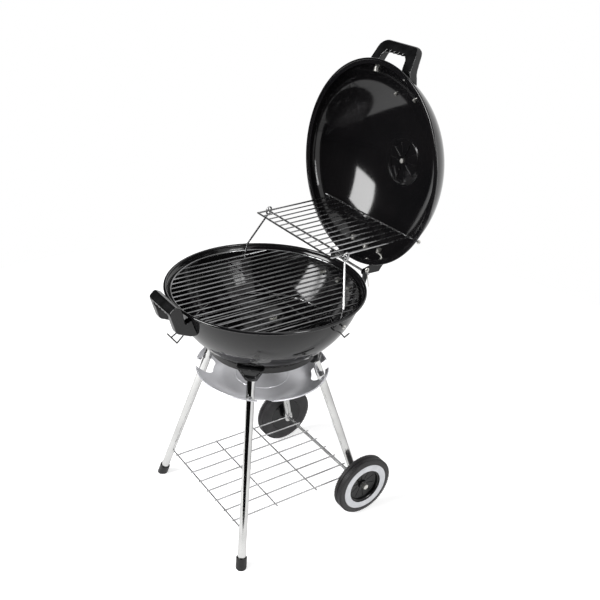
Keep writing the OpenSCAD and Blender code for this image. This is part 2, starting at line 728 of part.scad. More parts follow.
module lid_hinge_bolts() color(chrome) at_axis() opened() {
    lid_hinge_bolt_places() translate([0, 0, -6]) cylinder(r = small_bolt_r, h = 14, $fn = 36);
    intersection() {
        lid_hinge_bolt_places() translate([0, 0, -8]) cylinder(r = 6, h = 14, $fn = 36);
        dome_solid(sheet + seat_gap);
    }
    difference() {
        lid_hinge_bolt_places() translate([0, 0, -4]) cylinder(r = 4.5, h = 10, $fn = 36);
        dome_solid(-bracket_t - seat_gap);
    }
}

// ---------- stand ----------

ring_t = 1.5;
ring_r = leg_top_r + ring_beyond;
ring_top = bowl_z_at(ring_r - ring_t) - seat_gap;

module support_ring() color(enamel) at_axis() difference() {
    translate([0, 0, ring_top - ring_h]) cylinder(r = ring_r, h = ring_h, $fn = 144);
    translate([0, 0, ring_top - ring_h - 1]) cylinder(r = ring_r - ring_t, h = ring_h + 2, $fn = 144);
    ring_screw_places() cylinder(r = ring_screw_r + seat_gap, h = 20, center = true, $fn = 24);
}

ring_screw_r = 1.6;
ring_head_r = 3.2;
socket_out = ring_r + 6;

// Places outside the four sockets, with +Z outwards
module ring_screw_places() for (a = [45 : 90 : 315])
    rotate(a) translate([socket_out, 0, ring_top - 5]) rotate([0, 90, 0]) children();

module ring_screws() color(chrome) at_axis() ring_screw_places() {
    cylinder(r = ring_head_r, h = 2, $fn = 36);
    translate([0, 0, -8]) cylinder(r = ring_screw_r, h = 8, $fn = 24);
}

// A flared socket that seats on the bowl, grips the strap and holds a leg
module leg_socket(top, foot) difference() {
    hull() {
        aim(top, foot) translate([0, 0, 26]) cylinder(r = leg_r + 4, h = 3, $fn = 32);
        rotate(atan2(top[1], top[0])) translate([leg_top_r - 8, -30, ring_top - 3])
            cube([socket_out - leg_top_r + 8, 60, 4]);
    }
    bowl_ball(-seat_gap);
    aim(top, foot) {
        translate([0, 0, leg_start - seat_gap]) cylinder(r = leg_r + seat_gap, h = 40);
        translate([0, 0, -20]) cylinder(r = bolt_r + seat_gap, h = 40, $fn = 36);
    }
    difference() {
        translate([0, 0, ring_top - ring_h - seat_gap]) cylinder(r = ring_r + seat_gap, h = 60, $fn = 144);
        translate([0, 0, ring_top - 60]) cylinder(r = ring_r - ring_t - seat_gap, h = 120, $fn = 144);
    }
    ring_screw_places() {
        cylinder(r = ring_screw_r + seat_gap, h = 30, center = true, $fn = 24);
        translate([0, 0, -seat_gap]) cylinder(r = ring_head_r + seat_gap, h = 30, $fn = 36);
    }
    rotate(atan2(top[1], top[0])) translate([socket_out - 1.5, 0, ring_top]) rotate([90, 0, 90])
        linear_extrude(20) polygon([[-24, -6], [24, -6], [12, -21], [-12, -21]]);
}

module socket_front() leg_socket(front_top, front_foot);
module socket_rear() leg_socket(leg_top, rear_foot);

module leg_socket_front_left() color(plastic) at_axis() mirror([1, 0, 0]) socket_front();
module leg_socket_front_right() color(plastic) at_axis() socket_front();
module leg_socket_rear_left() color(plastic) at_axis() mirror([1, 0, 0]) socket_rear();
module leg_socket_rear_right() color(plastic) at_axis() socket_rear();

plug_h = 18;

// A bolt down through the bowl into a leg, with a domed nut inside the bowl
module leg_bolt(top, foot) aim(top, foot) {
    translate([0, 0, -6]) cylinder(r = bolt_r, h = 6 + leg_start + plug_h - 4, $fn = 36);
}

module leg_nut(top, foot) intersection() {
    union() {
        aim(top, foot) translate([0, 0, -7]) cylinder(r = 9, h = 16, $fn = 48);
        aim(top, foot) translate([0, 0, -7]) sphere(6, $fn = 36);
    }
    bowl_ball(sheet + seat_gap);
}

module leg_bolts() color(chrome) at_axis() both_sides() {
    leg_bolt(leg_top, rear_foot);
    leg_nut(leg_top, rear_foot);
    leg_bolt(front_top, front_foot);
    leg_nut(front_top, front_foot);
}

// A leg tube with a threaded plug in its top, along +Z from the plug
module leg_tube(length) difference() {
    cylinder(r = leg_r, h = length);
    translate([0, 0, plug_h]) cylinder(r = leg_r - leg_wall, h = length);
    translate([0, 0, -1]) cylinder(r = bolt_r + seat_gap, h = plug_h + 2, $fn = 36);
}

foot_lift = 5;

module front_leg() difference() {
    aim(front_top, front_foot) translate([0, 0, leg_start])
        leg_tube(norm(front_foot - front_top) - leg_start - foot_lift);
    translate([0, -shelf_front, shelf_z]) rotate([0, 90, 0])
        cylinder(r = shelf_wire_r + seat_gap, h = shelf_hook_x + 1, $fn = 24);
}

module leg_front_left() color(chrome) at_axis() mirror([1, 0, 0]) front_leg();
module leg_front_right() color(chrome) at_axis() front_leg();

pinch_h = 34;
pinch_t = 4;

// A back leg's lower end is pinched flat round the axle and the shelf's wire
module rear_leg() difference() {
    length = norm(rear_foot - leg_top) - leg_start;
    union() {
        aim(leg_top, rear_foot) translate([0, 0, leg_start]) leg_tube(length - pinch_h);
        hull() {
            aim(leg_top, rear_foot) translate([0, 0, leg_start + length - pinch_h - 4])
                cylinder(r = leg_r - leg_wall / 3, h = 5, $fn = 32);
            bar([axle_back - 3, axle_z + 14], 11, rear_leg_x - pinch_t / 2, rear_leg_x + pinch_t / 2);
        }
        hull() {
            bar([axle_back - 3, axle_z + 14], 11, rear_leg_x - pinch_t / 2, rear_leg_x + pinch_t / 2);
            bar([axle_back, axle_z], 11, rear_leg_x - pinch_t / 2, rear_leg_x + pinch_t / 2);
        }
    }
    bar([axle_back, axle_z], axle_r + seat_gap, 0, far);
    bar([shelf_rear, shelf_z], shelf_wire_r + seat_gap, 0, far);
}

module leg_rear_left() color(chrome) at_axis() mirror([1, 0, 0]) rear_leg();
module leg_rear_right() color(chrome) at_axis() rear_leg();

module foot_cap() difference() {
    intersection() {
        aim(front_foot, front_top) rotate(45) translate([0, 0, -10])
            cylinder(r = leg_r + 3, h = cap_h + 10);
        translate([0, -far, 0]) cube(2 * far);
    }
    aim(front_foot, front_top) translate([0, 0, foot_lift - seat_gap])
        cylinder(r = leg_r + seat_gap, h = cap_h + 10);
}

module foot_cap_left() color(plastic) at_axis() mirror([1, 0, 0]) foot_cap();
module foot_cap_right() color(plastic) at_axis() foot_cap();

// ---------- ash catcher ----------

ash_bead = 2;
ash_t = 1;
// Depth below the rim at which the dish passes outside the legs
notch_drop = 9;
ash_wall_run = ash_r - ash_bead - ash_floor_r;
ash_arc = (ash_wall_run ^ 2 + ash_depth ^ 2) / (2 * ash_depth);

module ash_section() {
    translate([0, ash_z - ash_bead - ash_depth]) {
        square([ash_floor_r, ash_t]);
        intersection() {
            translate([ash_floor_r, ash_arc]) difference() {
                circle(ash_arc, $fn = 144);
                circle(ash_arc - ash_t, $fn = 144);
            }
            translate([ash_floor_r - 0.01, 0]) square([ash_wall_run, ash_depth]);
        }
        translate([ash_r - ash_bead, ash_depth]) circle(ash_bead, $fn = 24);
        translate([61, ash_t]) circle(1, $fn = 24);
    }
}

// The notch round a leg runs round the dish and then out through its rim
module twist_lock(top, foot) {
    place = on_leg(top, foot, ash_z - notch_drop);
    slot_out = norm([place[0], place[1]]) + leg_r + 0.9;
    slot_in = slot_out - 30;
    slot_mid = (slot_out + slot_in) / 2;
    translate([0, 0, ash_z - far / 2]) rotate(atan2(place[1], place[0])) {
        rotate_extrude(angle = mouth_turn) translate([slot_in, 0]) square([slot_out - slot_in, far]);
        rotate(mouth_turn - mouth_span / 2) rotate_extrude(angle = mouth_span)
            translate([slot_mid, 0]) square([60, far]);
        for (a = [0, mouth_turn]) rotate(a) translate([slot_mid, 0])
            cylinder(r = (slot_out - slot_in) / 2 + 0.4, h = far, $fn = 36);
    }
}

module ash_catcher() color(steel) at_axis() difference() {
    rotate_extrude($fn = 144) ash_section();
    twist_lock(leg_top, rear_foot);
    twist_lock(front_top, front_foot);
    twist_lock([-leg_top[0], leg_top[1], leg_top[2]], [-rear_foot[0], rear_foot[1], rear_foot[2]]);
    twist_lock([-front_top[0], front_top[1], front_top[2]], [-front_foot[0], front_foot[1], 0]);
}

// ---------- axle and wheels ----------

axle_end = wheel_in + wheel_w - 2;

module axle() color(chrome) at_axis() bar([axle_back, axle_z], axle_r, -axle_end, axle_end);

// A cap nut outside each hub
module axle_nuts() color(chrome) at_axis() both_sides() {
    hub_out = wheel_in + wheel_w - 12;
    difference() {
        translate([hub_out + 4 + seat_gap, axle_back, axle_z]) rotate([0, 90, 0])
            cylinder(r = axle_r + 3, h = 10, $fn = 6);
        bar([axle_back, axle_z], axle_r + seat_gap, 0, axle_end + seat_gap);
    }
}

// A wheel is drawn on its axis, from its inner face at z = 0 outwards
module wheel_place() translate([wheel_in, axle_back, axle_z]) rotate([0, 90, 0]) children();

module tyre() wheel_place() difference() {
    rotate_extrude($fn = 144) rounded(5) translate([hub_r, 0]) square([wheel_r - hub_r, wheel_w]);
    translate([0, 0, wheel_w / 2 - 1]) rotate_extrude($fn = 144)
        translate([wheel_r - 1.5, 0]) square([5, 2]);
    translate([0, 0, wheel_w - 1.5]) cylinder(r = band_out + seat_gap, h = 5, $fn = 144);
}

module white_band() wheel_place() difference() {
    translate([0, 0, wheel_w - 1.5 + seat_gap]) cylinder(r = band_out, h = 1.5, $fn = 144);
    translate([0, 0, wheel_w - 5]) cylinder(r = hub_r, h = 10, $fn = 144);
}

module hub() wheel_place() difference() {
    union() {
        difference() {
            cylinder(r = hub_r - seat_gap, h = wheel_w - 3, $fn = 144);
            translate([0, 0, wheel_w - 14]) cylinder(r = hub_r - 5, h = 20, $fn = 144);
        }
        cylinder(r = 12, h = wheel_w - 8);
    }
    translate([0, 0, -1]) cylinder(r = axle_r + pin_gap, h = far, $fn = 36);
    for (i = [0 : 9]) rotate(36 * i) translate([18, -2, -1]) cube([18, 4, far]);
}

module tyre_left() color(plastic) at_axis() mirror([1, 0, 0]) tyre();
module tyre_right() color(plastic) at_axis() tyre();
module white_band_left() color("white") at_axis() mirror([1, 0, 0]) white_band();
module white_band_right() color("white") at_axis() white_band();
module hub_left() color(plastic) at_axis() mirror([1, 0, 0]) hub();
module hub_right() color(plastic) at_axis() hub();

// ---------- bottom shelf ----------

shelf_corner = on_leg(front_top, front_foot, shelf_z);
shelf_front = -shelf_corner[1];
shelf_hook_x = shelf_corner[0];
shelf_rear = axle_back - 3.5;
shelf_low = 2 * shelf_wire_r - 0.7;

// Wires from front to back lie on cross wires, whose ends go into the legs
module bottom_shelf() color(chrome) at_axis() {
    for (i = [0 : shelf_spaces]) {
        x = shelf_half * (2 * i / shelf_spaces - 1);
        rod([x, -shelf_front - 6, shelf_z + shelf_low], [x, shelf_rear + 6, shelf_z + shelf_low], shelf_wire_r);
    }
    for (f = [1 / 3, 2 / 3]) {
        y = -shelf_front + (shelf_front + shelf_rear) * f;
        rod([-shelf_half - 6, y, shelf_z], [shelf_half + 6, y, shelf_z], shelf_wire_r);
    }
    rod([-shelf_hook_x, -shelf_front, shelf_z], [shelf_hook_x, -shelf_front, shelf_z], shelf_wire_r);
    rod([-rear_leg_x - 5, shelf_rear, shelf_z], [rear_leg_x + 5, shelf_rear, shelf_z], shelf_wire_r);
}

bowl();
grate_tabs();
bowl_damper();
bowl_damper_bolt();
bowl_handle();
bowl_handle_bolts();
tool_hook();
side_hook();
bowl_hinge_bracket();
bowl_hinge_bolts();
hinge_rod();
hinge_cotter();
cooking_grate();
charcoal_grate();
rack_leg_left();
rack_leg_right();
rack_leg_clip_left();
rack_leg_clip_right();
lid();
lid_damper();
lid_damper_bolt();
lid_handle();
lid_handle_bolts();
lid_rivets();
lid_hinge_bracket();
lid_hinge_bolts();
warming_rack();
rack_clips();
support_ring();
ring_screws();
leg_socket_front_left();
leg_socket_front_right();
leg_socket_rear_left();
leg_socket_rear_right();
leg_bolts();
leg_front_left();
leg_front_right();
leg_rear_left();
leg_rear_right();
foot_cap_left();
foot_cap_right();
ash_catcher();
axle();
axle_nuts();
tyre_left();
tyre_right();
white_band_left();
white_band_right();
hub_left();
hub_right();
bottom_shelf();
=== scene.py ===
# %% [markdown]
# # A kettle charcoal grill, dressed for its portrait
# The solids of the grill come from its CAD model and already stand in the right
# place. This lesson gives them what a CAD model lacks: smooth enamelled shells,
# moulded handles, tyres with tread, and finishes that answer the studio light.
# Lengths are metres, the grill faces -Y and the floor is z = 0.

# %% Load the grill
import json
import math

import bpy
from mathutils import Matrix, Vector


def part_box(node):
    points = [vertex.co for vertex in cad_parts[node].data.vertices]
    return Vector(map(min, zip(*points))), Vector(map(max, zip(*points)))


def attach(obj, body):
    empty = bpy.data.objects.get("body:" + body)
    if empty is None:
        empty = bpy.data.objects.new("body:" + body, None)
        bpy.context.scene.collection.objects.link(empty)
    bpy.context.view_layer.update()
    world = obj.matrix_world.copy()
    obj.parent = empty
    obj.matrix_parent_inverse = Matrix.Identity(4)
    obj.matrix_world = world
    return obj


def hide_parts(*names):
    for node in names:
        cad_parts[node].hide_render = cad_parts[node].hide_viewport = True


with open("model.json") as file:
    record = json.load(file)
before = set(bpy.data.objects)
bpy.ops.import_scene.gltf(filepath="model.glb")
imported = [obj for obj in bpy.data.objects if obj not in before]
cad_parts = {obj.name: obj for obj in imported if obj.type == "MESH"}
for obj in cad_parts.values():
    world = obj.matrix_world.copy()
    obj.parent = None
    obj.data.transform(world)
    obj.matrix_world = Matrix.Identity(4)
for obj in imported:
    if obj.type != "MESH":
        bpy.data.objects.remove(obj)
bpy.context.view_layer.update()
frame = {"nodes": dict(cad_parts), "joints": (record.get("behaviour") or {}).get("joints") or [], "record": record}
nodes = frame["nodes"]
joint_place = {j["name"]: Vector(j["pos_m"]) for j in frame["joints"]}
axis_y = joint_place["bowl_damper_turn"].y

# %% [markdown]
# ## The camera
# The grill is seen from its front right corner, a little above the grate. A short
# telephoto keeps the round rims from stretching. The camera is turned by its three
# own directions, which also holds the small roll of a camera held by hand.

# %% Camera
back = Vector((0.71730, -0.47614, 0.50869))
up = Vector((-0.44488, 0.24890, 0.86031))
right = up.cross(back)
station = Vector((1.34599, -0.89345 + axis_y, 1.38034))
camera_data = bpy.data.cameras.new("camera")
camera_data.sensor_width = 36.0
camera_data.lens = 49.70
camera_data.shift_x = 0.0618
camera_data.shift_y = 0.0800
camera_data.clip_end = 60.0
camera = bpy.data.objects.new("camera", camera_data)
turn = Matrix((right, up, back)).transposed().to_4x4()
camera.matrix_world = Matrix.Translation(station) @ turn
bpy.context.scene.collection.objects.link(camera)
bpy.context.scene.camera = camera
print("camera", tuple(round(v, 3) for v in station), "lens", camera_data.lens)

# %% [markdown]
# ## The studio
# Gloss black shows little but what it reflects, so the studio is built as much for
# the reflections as for the light: a large soft box in front, a narrow one on the
# right, and a white ground. The camera and every reflection see that ground at full
# white, while the light that it sheds on the grill is dimmer, and dimmest from above.

# %% World
white = (1.0, 1.0, 1.0, 1.0)
light_range = {"From Min": -0.05, "From Max": 0.55, "To Min": 0.62, "To Max": 0.22}
world = bpy.data.worlds.new("studio")
bpy.context.scene.world = world
world.use_nodes = True
studio = world.node_tree
studio.nodes.clear()
ray_kind = studio.nodes.new("ShaderNodeLightPath")
sees_white = ray_kind.outputs["Is Camera Ray"]
for ray in ("Is Glossy Ray", "Is Transmission Ray"):
    larger = studio.nodes.new("ShaderNodeMath")
    larger.operation = "MAXIMUM"
    studio.links.new(sees_white, larger.inputs[0])
    studio.links.new(ray_kind.outputs[ray], larger.inputs[1])
    sees_white = larger.outputs[0]
direction = studio.nodes.new("ShaderNodeTexCoord")
split = studio.nodes.new("ShaderNodeSeparateXYZ")
studio.links.new(direction.outputs["Generated"], split.inputs[0])
by_height = studio.nodes.new("ShaderNodeMapRange")
for label, value in light_range.items():
    by_height.inputs[label].default_value = value
studio.links.new(split.outputs["Z"], by_height.inputs["Value"])
soft_light = studio.nodes.new("ShaderNodeBackground")
soft_light.inputs["Color"].default_value = white
studio.links.new(by_height.outputs["Result"], soft_light.inputs["Strength"])
white_ground = studio.nodes.new("ShaderNodeBackground")
white_ground.inputs["Color"].default_value = white
white_ground.inputs["Strength"].default_value = 1.0
chosen = studio.nodes.new("ShaderNodeMixShader")
studio.links.new(sees_white, chosen.inputs[0])
studio.links.new(soft_light.outputs[0], chosen.inputs[1])
studio.links.new(white_ground.outputs[0], chosen.inputs[2])
world_out = studio.nodes.new("ShaderNodeOutputWorld")
studio.links.new(chosen.outputs[0], world_out.inputs["Surface"])
bpy.context.scene.view_settings.view_transform = "Standard"
print("world", world.name, light_range)


# %% Lamps
aim_height = 0.6


def soft_box(name, azimuth, elevation, distance, width, height, power):
    """An area lamp that looks at the grill from a direction, azimuth 0 being in front."""
    a, e = math.radians(azimuth), math.radians(elevation)
    out = Vector((math.sin(a) * math.cos(e), -math.cos(a) * math.cos(e), math.sin(e)))
    target = Vector((0.0, axis_y, aim_height))
    data = bpy.data.lights.new(name, "AREA")
    data.shape = "RECTANGLE"
    data.size, data.size_y = width, height
    data.energy = power
    lamp = bpy.data.objects.new(name, data)
    lamp.location = target + out * distance
    lamp.rotation_mode = "QUATERNION"
    lamp.rotation_quaternion = (-out).to_track_quat("-Z", "Y")
    bpy.context.scene.collection.objects.link(lamp)


soft_box("front_box", azimuth=-14, elevation=26, distance=3.0, width=1.5, height=1.85, power=118)
soft_box("right_box", azimuth=98, elevation=27, distance=3.0, width=0.7, height=1.5, power=34)

# %% [markdown]
# ## Shared effects
# Three effects turn up in several finishes, so each is a node group made once: a
# slow change of gloss over a surface, as on dipped enamel; the fine draw lines of a
# tube or wire; and the even pebble of moulded plastic.


# %% A maker for node groups
def effect(name, inputs):
    """A shader node group with named inputs, which puts out gloss, a mask and a bump."""
    tree = bpy.data.node_groups.new(name, "ShaderNodeTree")
    for label, value in inputs.items():
        socket = tree.interface.new_socket(label, in_out="INPUT", socket_type="NodeSocketFloat")
        socket.default_value = value
    for label, kind in (("Roughness", "Float"), ("Mask", "Float"), ("Normal", "Vector")):
        tree.interface.new_socket(label, in_out="OUTPUT", socket_type=f"NodeSocket{kind}")
    start, end = tree.nodes.new("NodeGroupInput"), tree.nodes.new("NodeGroupOutput")
    start.location, end.location = (-900, 0), (500, 0)
    return tree, start, end


def node(tree, kind, place, **settings):
    """A node of a kind, at a place in its tree, with some of its settings made."""
    made = tree.nodes.new(kind)
    made.location = place
    for key, value in settings.items():
        setattr(made, key, value)
    return made


def noise(tree, coordinates, scale, detail, place):
    """A noise texture on the given coordinates, and its output from 0 to 1."""
    made = node(tree, "ShaderNodeTexNoise", place)
    made.inputs["Scale"].default_value = scale
    made.inputs["Detail"].default_value = detail
    tree.links.new(coordinates, made.inputs["Vector"])
    return made.outputs["Fac"]


def remap(tree, value, low, high, place, least=0.35, most=0.65):
    """Stretches a value, which runs from least to most, to the sockets low and high."""
    made = node(tree, "ShaderNodeMapRange", place)
    made.inputs["From Min"].default_value = least
    made.inputs["From Max"].default_value = most
    tree.links.new(value, made.inputs["Value"])
    for socket, wanted in (("To Min", low), ("To Max", high)):
        if isinstance(wanted, (int, float)):
            made.inputs[socket].default_value = wanted
        else:
            tree.links.new(wanted, made.inputs[socket])
    return made.outputs["Result"]


def bumped(tree, height, strength, distance, place):
    """A bump from a height, with its strength from a socket."""
    made = node(tree, "ShaderNodeBump", place)
    made.inputs["Distance"].default_value = distance
    tree.links.new(height, made.inputs["Height"])
    tree.links.new(strength, made.inputs["Strength"])
    return made.outputs["Normal"]


def put_out(tree, end, **results):
    """Links each result to the output of the group that has its name."""
    for label, result in results.items():
        tree.links.new(result, end.inputs[label])


# %% Uneven gloss
uneven, given, end = effect(
    "uneven_gloss", {"Scale": 9.0, "Smooth": 0.05, "Dull": 0.12, "Wave": 0.02})
where = node(uneven, "ShaderNodeTexCoord", (-900, 300)).outputs["Object"]
cloud = node(uneven, "ShaderNodeTexNoise", (-600, 300))
cloud.inputs["Detail"].default_value = 4.0
uneven.links.new(where, cloud.inputs["Vector"])
uneven.links.new(given.outputs["Scale"], cloud.inputs["Scale"])
patches = cloud.outputs["Fac"]
gloss = remap(uneven, patches, given.outputs["Smooth"], given.outputs["Dull"], (-300, 300))
mask = remap(uneven, patches, 0.0, 1.0, (-300, 0))
ripple = noise(uneven, where, 38.0, 2.0, (-600, -300))
normal = bumped(uneven, ripple, given.outputs["Wave"], 0.0004, (100, -300))
put_out(uneven, end, Roughness=gloss, Mask=mask, Normal=normal)

# %% Draw lines
# Stretching the noise about thirty times along Z turns its grains into lines down a tube.
drawn, given, end = effect(
    "draw_lines", {"Fine": 900.0, "Smooth": 0.08, "Dull": 0.2, "Depth": 0.1})
where = node(drawn, "ShaderNodeTexCoord", (-900, 300)).outputs["Object"]
stretched = node(drawn, "ShaderNodeVectorMath", (-700, 300), operation="MULTIPLY")
stretched.inputs[1].default_value = (1.0, 1.0, 0.03)
drawn.links.new(where, stretched.inputs[0])
lines = node(drawn, "ShaderNodeTexNoise", (-500, 300))
lines.inputs["Detail"].default_value = 2.0
drawn.links.new(stretched.outputs["Vector"], lines.inputs["Vector"])
drawn.links.new(given.outputs["Fine"], lines.inputs["Scale"])
scratches = lines.outputs["Fac"]
gloss = remap(drawn, scratches, given.outputs["Smooth"], given.outputs["Dull"], (-200, 300))
mask = remap(drawn, noise(drawn, where, 22.0, 4.0, (-500, 0)), 0.0, 1.0, (-200, 0))
normal = bumped(drawn, scratches, given.outputs["Depth"], 0.0001, (100, -200))
put_out(drawn, end, Roughness=gloss, Mask=mask, Normal=normal)

# %% Moulded pebble
pebble, given, end = effect(
    "moulded_pebble", {"Fine": 900.0, "Smooth": 0.3, "Dull": 0.45, "Depth": 0.15})
where = node(pebble, "ShaderNodeTexCoord", (-900, 300)).outputs["Object"]
grains = node(pebble, "ShaderNodeTexVoronoi", (-600, 300))
pebble.links.new(where, grains.inputs["Vector"])
pebble.links.new(given.outputs["Fine"], grains.inputs["Scale"])
patches = noise(pebble, where, 45.0, 4.0, (-600, 0))
gloss = remap(pebble, patches, given.outputs["Smooth"], given.outputs["Dull"], (-300, 0))
mask = remap(pebble, patches, 0.0, 1.0, (-300, -200))
normal = bumped(pebble, grains.outputs["Distance"], given.outputs["Depth"], 0.0003, (100, 300))
put_out(pebble, end, Roughness=gloss, Mask=mask, Normal=normal)
print("effects", [g.name for g in bpy.data.node_groups])

# %% [markdown]
# ## The finishes
# Every finish is a Principled BSDF fed by one of the effects: its gloss, its colour
# between two close tones, and its bump. The enamel is nearly black and very glossy,
# the plastics are a little duller, and the metals differ in tone and gloss.


# %% A maker for finishes
def finish(name, group, values, dark, light, metallic=0.0):
    """A material whose tone runs between two colours, with gloss and bump by an effect."""
    material = bpy.data.materials.new(name)
    material.use_nodes = True
    tree = material.node_tree
    shader = tree.nodes["Principled BSDF"]
    look = node(tree, "ShaderNodeGroup", (-500, 0))
    look.node_tree = group
    for label, value in values.items():
        look.inputs[label].default_value = value
    tone = node(tree, "ShaderNodeMix", (-250, 200), data_type="RGBA")
    tone.inputs["A"].default_value = (*dark, 1.0)
    tone.inputs["B"].default_value = (*light, 1.0)
    tree.links.new(look.outputs["Mask"], tone.inputs["Factor"])
    tree.links.new(tone.outputs["Result"], shader.inputs["Base Color"])
    tree.links.new(look.outputs["Roughness"], shader.inputs["Roughness"])
    tree.links.new(look.outputs["Normal"], shader.inputs["Normal"])
    shader.inputs["Metallic"].default_value = metallic
    return material


# %% The finishes of the grill
finishes = {
    "black_enamel": finish(
        "black_enamel", uneven, {"Scale": 7.0, "Smooth": 0.06, "Dull": 0.11, "Wave": 0.03},
        (0.004, 0.004, 0.0045), (0.007, 0.0065, 0.007)),
    "black_plastic": finish(
        "black_plastic", pebble, {"Fine": 1400.0, "Smooth": 0.12, "Dull": 0.22, "Depth": 0.03},
        (0.005, 0.005, 0.005), (0.009, 0.009, 0.0095)),
    "black_wire": finish(
        "black_wire", drawn, {"Fine": 700.0, "Smooth": 0.22, "Dull": 0.38, "Depth": 0.1},
        (0.008, 0.008, 0.008), (0.018, 0.018, 0.018)),
    "plated_wire": finish(
        "plated_wire", drawn, {"Fine": 800.0, "Smooth": 0.12, "Dull": 0.3, "Depth": 0.15},
        (0.4, 0.4, 0.4), (0.58, 0.58, 0.59), metallic=1.0),
    # painted shade: the plated wire made darker for the grates, which hang in the dark bowl
    "grate_wire_painted_shade": finish(
        "grate_wire_painted_shade", drawn, {"Fine": 800.0, "Smooth": 0.1, "Dull": 0.24, "Depth": 0.15},
        (0.17, 0.17, 0.17), (0.3, 0.3, 0.305), metallic=1.0),
    "chromed_tube": finish(
        "chromed_tube", drawn, {"Fine": 1200.0, "Smooth": 0.05, "Dull": 0.14, "Depth": 0.05},
        (0.66, 0.66, 0.65), (0.76, 0.76, 0.75), metallic=1.0),
    "bright_fasteners": finish(
        "bright_fasteners", uneven, {"Scale": 60.0, "Smooth": 0.24, "Dull": 0.42, "Wave": 0.1},
        (0.68, 0.67, 0.63), (0.84, 0.83, 0.79), metallic=0.85),
    "black_screw": finish(
        "black_screw", uneven, {"Scale": 60.0, "Smooth": 0.3, "Dull": 0.45, "Wave": 0.1},
        (0.012, 0.012, 0.012), (0.022, 0.022, 0.022)),
    "plain_steel": finish(
        "plain_steel", drawn, {"Fine": 900.0, "Smooth": 0.2, "Dull": 0.4, "Depth": 0.15},
        (0.4, 0.4, 0.4), (0.55, 0.55, 0.55), metallic=1.0),
    "galvanised_sheet": finish(
        "galvanised_sheet", uneven, {"Scale": 12.0, "Smooth": 0.28, "Dull": 0.42, "Wave": 0.05},
        (0.68, 0.68, 0.71), (0.78, 0.78, 0.81), metallic=0.6),
    "tyre_black": finish(
        "tyre_black", pebble, {"Fine": 1100.0, "Smooth": 0.3, "Dull": 0.45, "Depth": 0.08},
        (0.018, 0.017, 0.018), (0.03, 0.028, 0.03)),
    "white_band": finish(
        "white_band", pebble, {"Fine": 1300.0, "Smooth": 0.3, "Dull": 0.42, "Depth": 0.05},
        (0.72, 0.73, 0.76), (0.82, 0.83, 0.86)),
}
print("finishes", sorted(finishes))

# %% [markdown]
# ## Dressing the solids
# Most solids keep their own shape. Their meshes arrive as loose triangles, so a Weld
# modifier joins them and an Edge Split keeps only the real corners sharp, which
# lets tubes and wires shade round. Neither modifier touches the mesh itself. The
# grates hang in the dark bowl, so they get a darker copy of the plated finish, which
# is painted shade; the screws of the support ring get a black finish.

# %% Dress every solid
same_place = 0.000002
# the grates take the darker plated finish, painted shade for the dark bowl, and the ring screws a black one
dimmer = {"cooking_grate": "grate_wire_painted_shade", "charcoal_grate": "grate_wire_painted_shade",
          "ring_screws": "black_screw"}
for row in frame["record"]["subparts"]:
    solid = nodes[row["node"]]
    solid.data.materials.clear()
    solid.data.materials.append(finishes[dimmer.get(row["node"], row["material_slot"])])
    solid.data.polygons.foreach_set("use_smooth", [True] * len(solid.data.polygons))
    weld = solid.modifiers.new("join", "WELD")
    weld.merge_threshold = same_place
    split_edges = solid.modifiers.new("corners", "EDGE_SPLIT")
    split_edges.split_angle = math.radians(32)

# %% [markdown]
# ## A small workshop
# New pieces start from a primitive and are shaped in edit mode. Round shells are
# turned: a single point is extruded along the outline and spun about the axis.
# Moulded handles are cut from plates and then remeshed, which rounds their edges.
# An operator acts on all that is selected, so everything is deselected first.


# %% Workshop helpers
close_by = 0.000004


def fresh():
    """Leaves nothing selected, so that an operator acts on the new piece alone."""
    bpy.ops.object.select_all(action="DESELECT")


def pick(*pieces):
    """Selects these pieces alone and makes the first of them the active one."""
    fresh()
    for piece in pieces:
        piece.select_set(True)
    bpy.context.view_layer.objects.active = pieces[0]


def facing_out():
    """Turns all the faces of the piece in edit mode outwards and leaves edit mode."""
    bpy.ops.mesh.select_all(action="SELECT")
    bpy.ops.mesh.normals_make_consistent(inside=False)
    bpy.ops.object.mode_set(mode="OBJECT")


def drawn_outline(name, points):
    """An object whose only edges are an outline, extruded point by point."""
    fresh()
    bpy.ops.mesh.primitive_plane_add(size=0.01, location=(0, 0, 0))
    piece = bpy.context.object
    piece.name = name
    bpy.ops.object.mode_set(mode="EDIT")
    bpy.ops.mesh.select_mode(type="VERT")
    bpy.ops.mesh.select_all(action="SELECT")
    bpy.ops.mesh.merge(type="CENTER")
    bpy.ops.transform.translate(value=points[0])
    for start, end in zip(points, points[1:]):
        step = tuple(b - a for a, b in zip(start, end))
        bpy.ops.mesh.extrude_vertices_move(TRANSFORM_OT_translate={"value": step})
    return piece


def turned(name, outline, steps=144, angle=2 * math.pi):
    """Spins an outline of (radius, height) about the Z axis."""
    piece = drawn_outline(name, [(r, 0.0, z) for r, z in outline])
    bpy.ops.mesh.select_all(action="SELECT")
    bpy.ops.mesh.spin(steps=steps, angle=angle, center=(0, 0, 0), axis=(0, 0, 1))
    bpy.ops.mesh.select_all(action="SELECT")
    bpy.ops.mesh.remove_doubles(threshold=close_by)
    facing_out()
    return piece


def filled_outline(name, corners):
    """A flat face with these corners, left in edit mode."""
    piece = drawn_outline(name, [*corners, corners[0]])
    bpy.ops.mesh.select_all(action="SELECT")
    bpy.ops.mesh.remove_doubles(threshold=close_by)
    bpy.ops.mesh.edge_face_add()
    return piece


def plate(name, corners, along):
    """A flat outline, filled and extruded by a vector into a solid."""
    piece = filled_outline(name, corners)
    bpy.ops.mesh.extrude_region_move(TRANSFORM_OT_translate={"value": along})
    facing_out()
    return piece


def settle(piece):
    """Applies every modifier of a piece, in order."""
    pick(piece)
    for modifier in list(piece.modifiers):
        bpy.ops.object.modifier_apply(modifier=modifier.name)
    return piece


